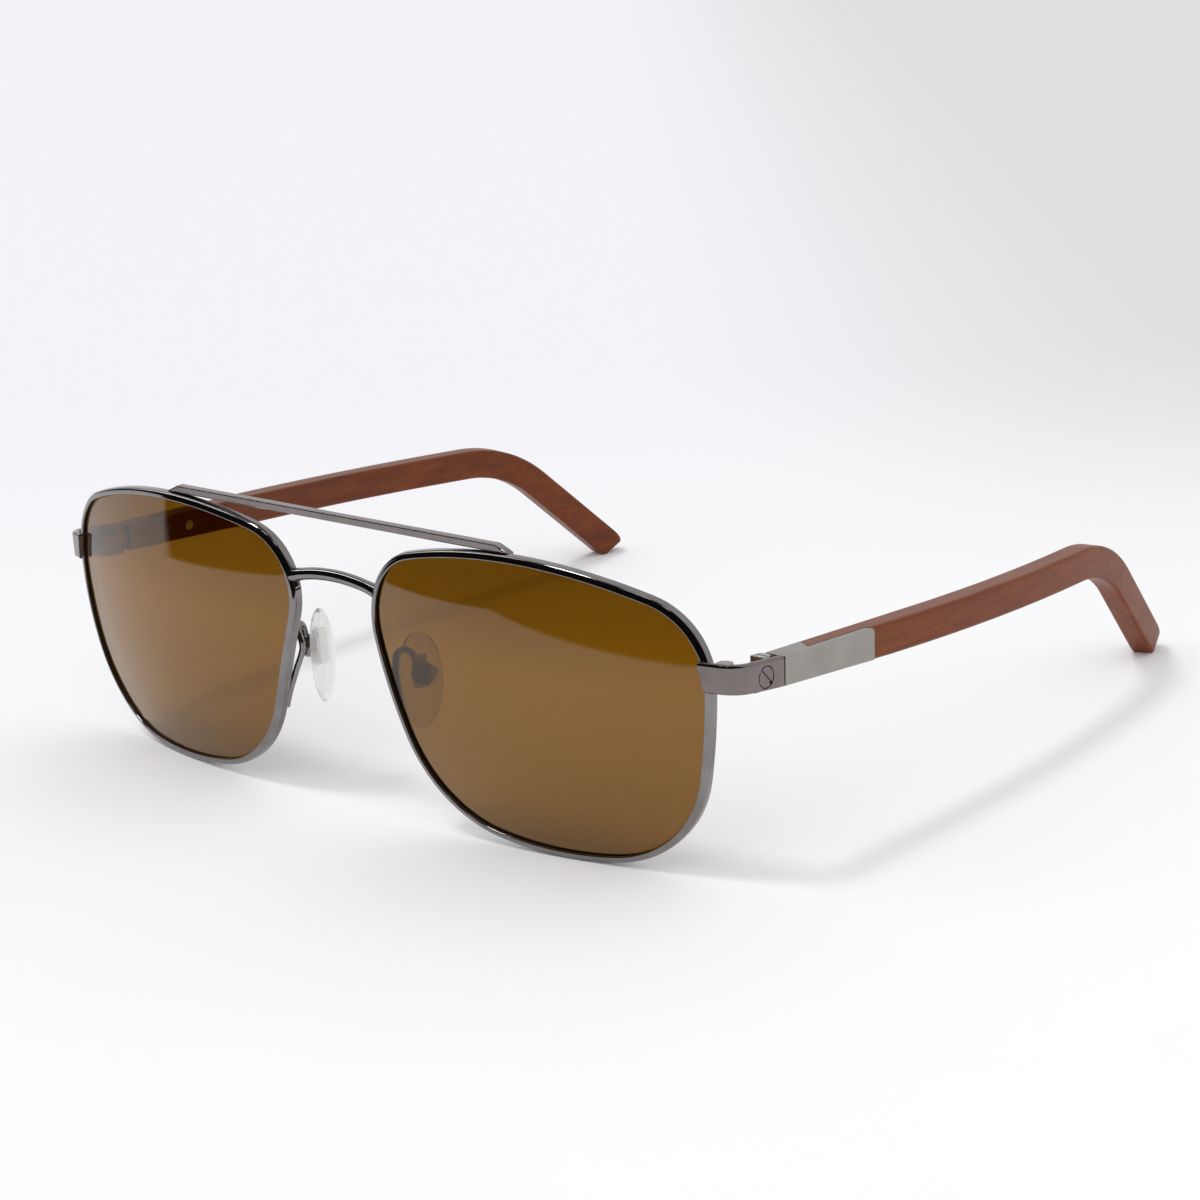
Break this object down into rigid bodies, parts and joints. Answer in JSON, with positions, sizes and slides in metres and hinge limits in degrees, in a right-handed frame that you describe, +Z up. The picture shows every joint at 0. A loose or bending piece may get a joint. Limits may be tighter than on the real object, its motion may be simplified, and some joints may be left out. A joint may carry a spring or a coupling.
{
  "type": "sunglasses",
  "caption": "Open sunglasses with a metal full-rim front, tinted lenses, bridge wire and brow bar, nose pads on bent arms, sprung hinges and wooden temples with an ear bend.",
  "frame": {"origin": "middle of the open sunglasses' box, on the surface that they stand on", "axes": "+X along the front to the right as the front is looked at, +Y back towards the ears, +Z up"},
  "size_m": [0.1452, 0.1296, 0.0465],
  "materials": {
    "gunmetal": "polished dark grey",
    "plate": "fine brushed",
    "steel": "turned",
    "lens": "brown tint, glossy",
    "pad": "clear silicone",
    "wood": "satin, straight grain"
  },
  "bodies": {
    "front": {"rim_left": "gunmetal", "rim_right": "gunmetal", "lens_left": "lens", "lens_right": "lens", "bridge": "gunmetal", "brow_bar": "gunmetal", "lock_upper_left": "gunmetal", "lock_upper_right": "gunmetal", "lock_lower_left": "gunmetal", "lock_lower_right": "gunmetal", "lock_screw_left": "steel", "lock_screw_right": "steel", "pad_arm_left": "gunmetal", "pad_arm_right": "gunmetal", "pad_cup_left": "gunmetal", "pad_cup_right": "gunmetal", "pad_screw_left": "steel", "pad_screw_right": "steel", "end_piece_left": "gunmetal", "end_piece_right": "gunmetal", "end_screw_left": "gunmetal", "end_screw_right": "gunmetal", "hinge_block_left": "gunmetal", "hinge_block_right": "gunmetal", "hinge_screw_left": "steel", "hinge_screw_right": "steel"},
    "tongue_left": {"hinge_tongue_left": "steel", "spring_left": "steel", "spring_nut_left": "steel"},
    "temple_left": {"temple_housing_left": "plate", "temple_wood_left": "wood", "rivet_left": "steel"},
    "pad_left": {"nose_pad_left": "pad", "pad_core_left": "steel"},
    "tongue_right": {"hinge_tongue_right": "steel", "spring_right": "steel", "spring_nut_right": "steel"},
    "temple_right": {"temple_housing_right": "plate", "temple_wood_right": "wood", "rivet_right": "steel"},
    "pad_right": {"nose_pad_right": "pad", "pad_core_right": "steel"}
  },
  "joints": [
    {"name": "fold_left", "type": "hinge", "parent": "front", "child": "tongue_left", "pos_m": [-0.06936, -0.04784, 0.0292], "axis": [0, -0.0715, -0.9974], "range_deg": [0, 88]},
    {"name": "flex_left", "type": "slide", "parent": "tongue_left", "child": "temple_left", "axis": [-0.0262, 0.9971, -0.0715], "range_m": [0, 0.0013], "stiffness_N_per_m": 2000, "springref_m": -0.001},
    {"name": "pad_rock_left", "type": "hinge", "parent": "front", "child": "pad_left", "pos_m": [-0.0128, -0.05774, 0.02245], "axis": [-0.4226, 0.9063, 0], "range_deg": [-8, 8]},
    {"name": "fold_right", "type": "hinge", "parent": "front", "child": "tongue_right", "pos_m": [0.06936, -0.04784, 0.0292], "axis": [0, 0.0715, 0.9974], "range_deg": [0, 80]},
    {"name": "flex_right", "type": "slide", "parent": "tongue_right", "child": "temple_right", "axis": [0.0262, 0.9971, -0.0715], "range_m": [0, 0.0013], "stiffness_N_per_m": 2000, "springref_m": -0.001},
    {"name": "pad_rock_right", "type": "hinge", "parent": "front", "child": "pad_right", "pos_m": [0.0128, -0.05774, 0.02245], "axis": [0.4226, 0.9063, 0], "range_deg": [-8, 8]}
  ]
}
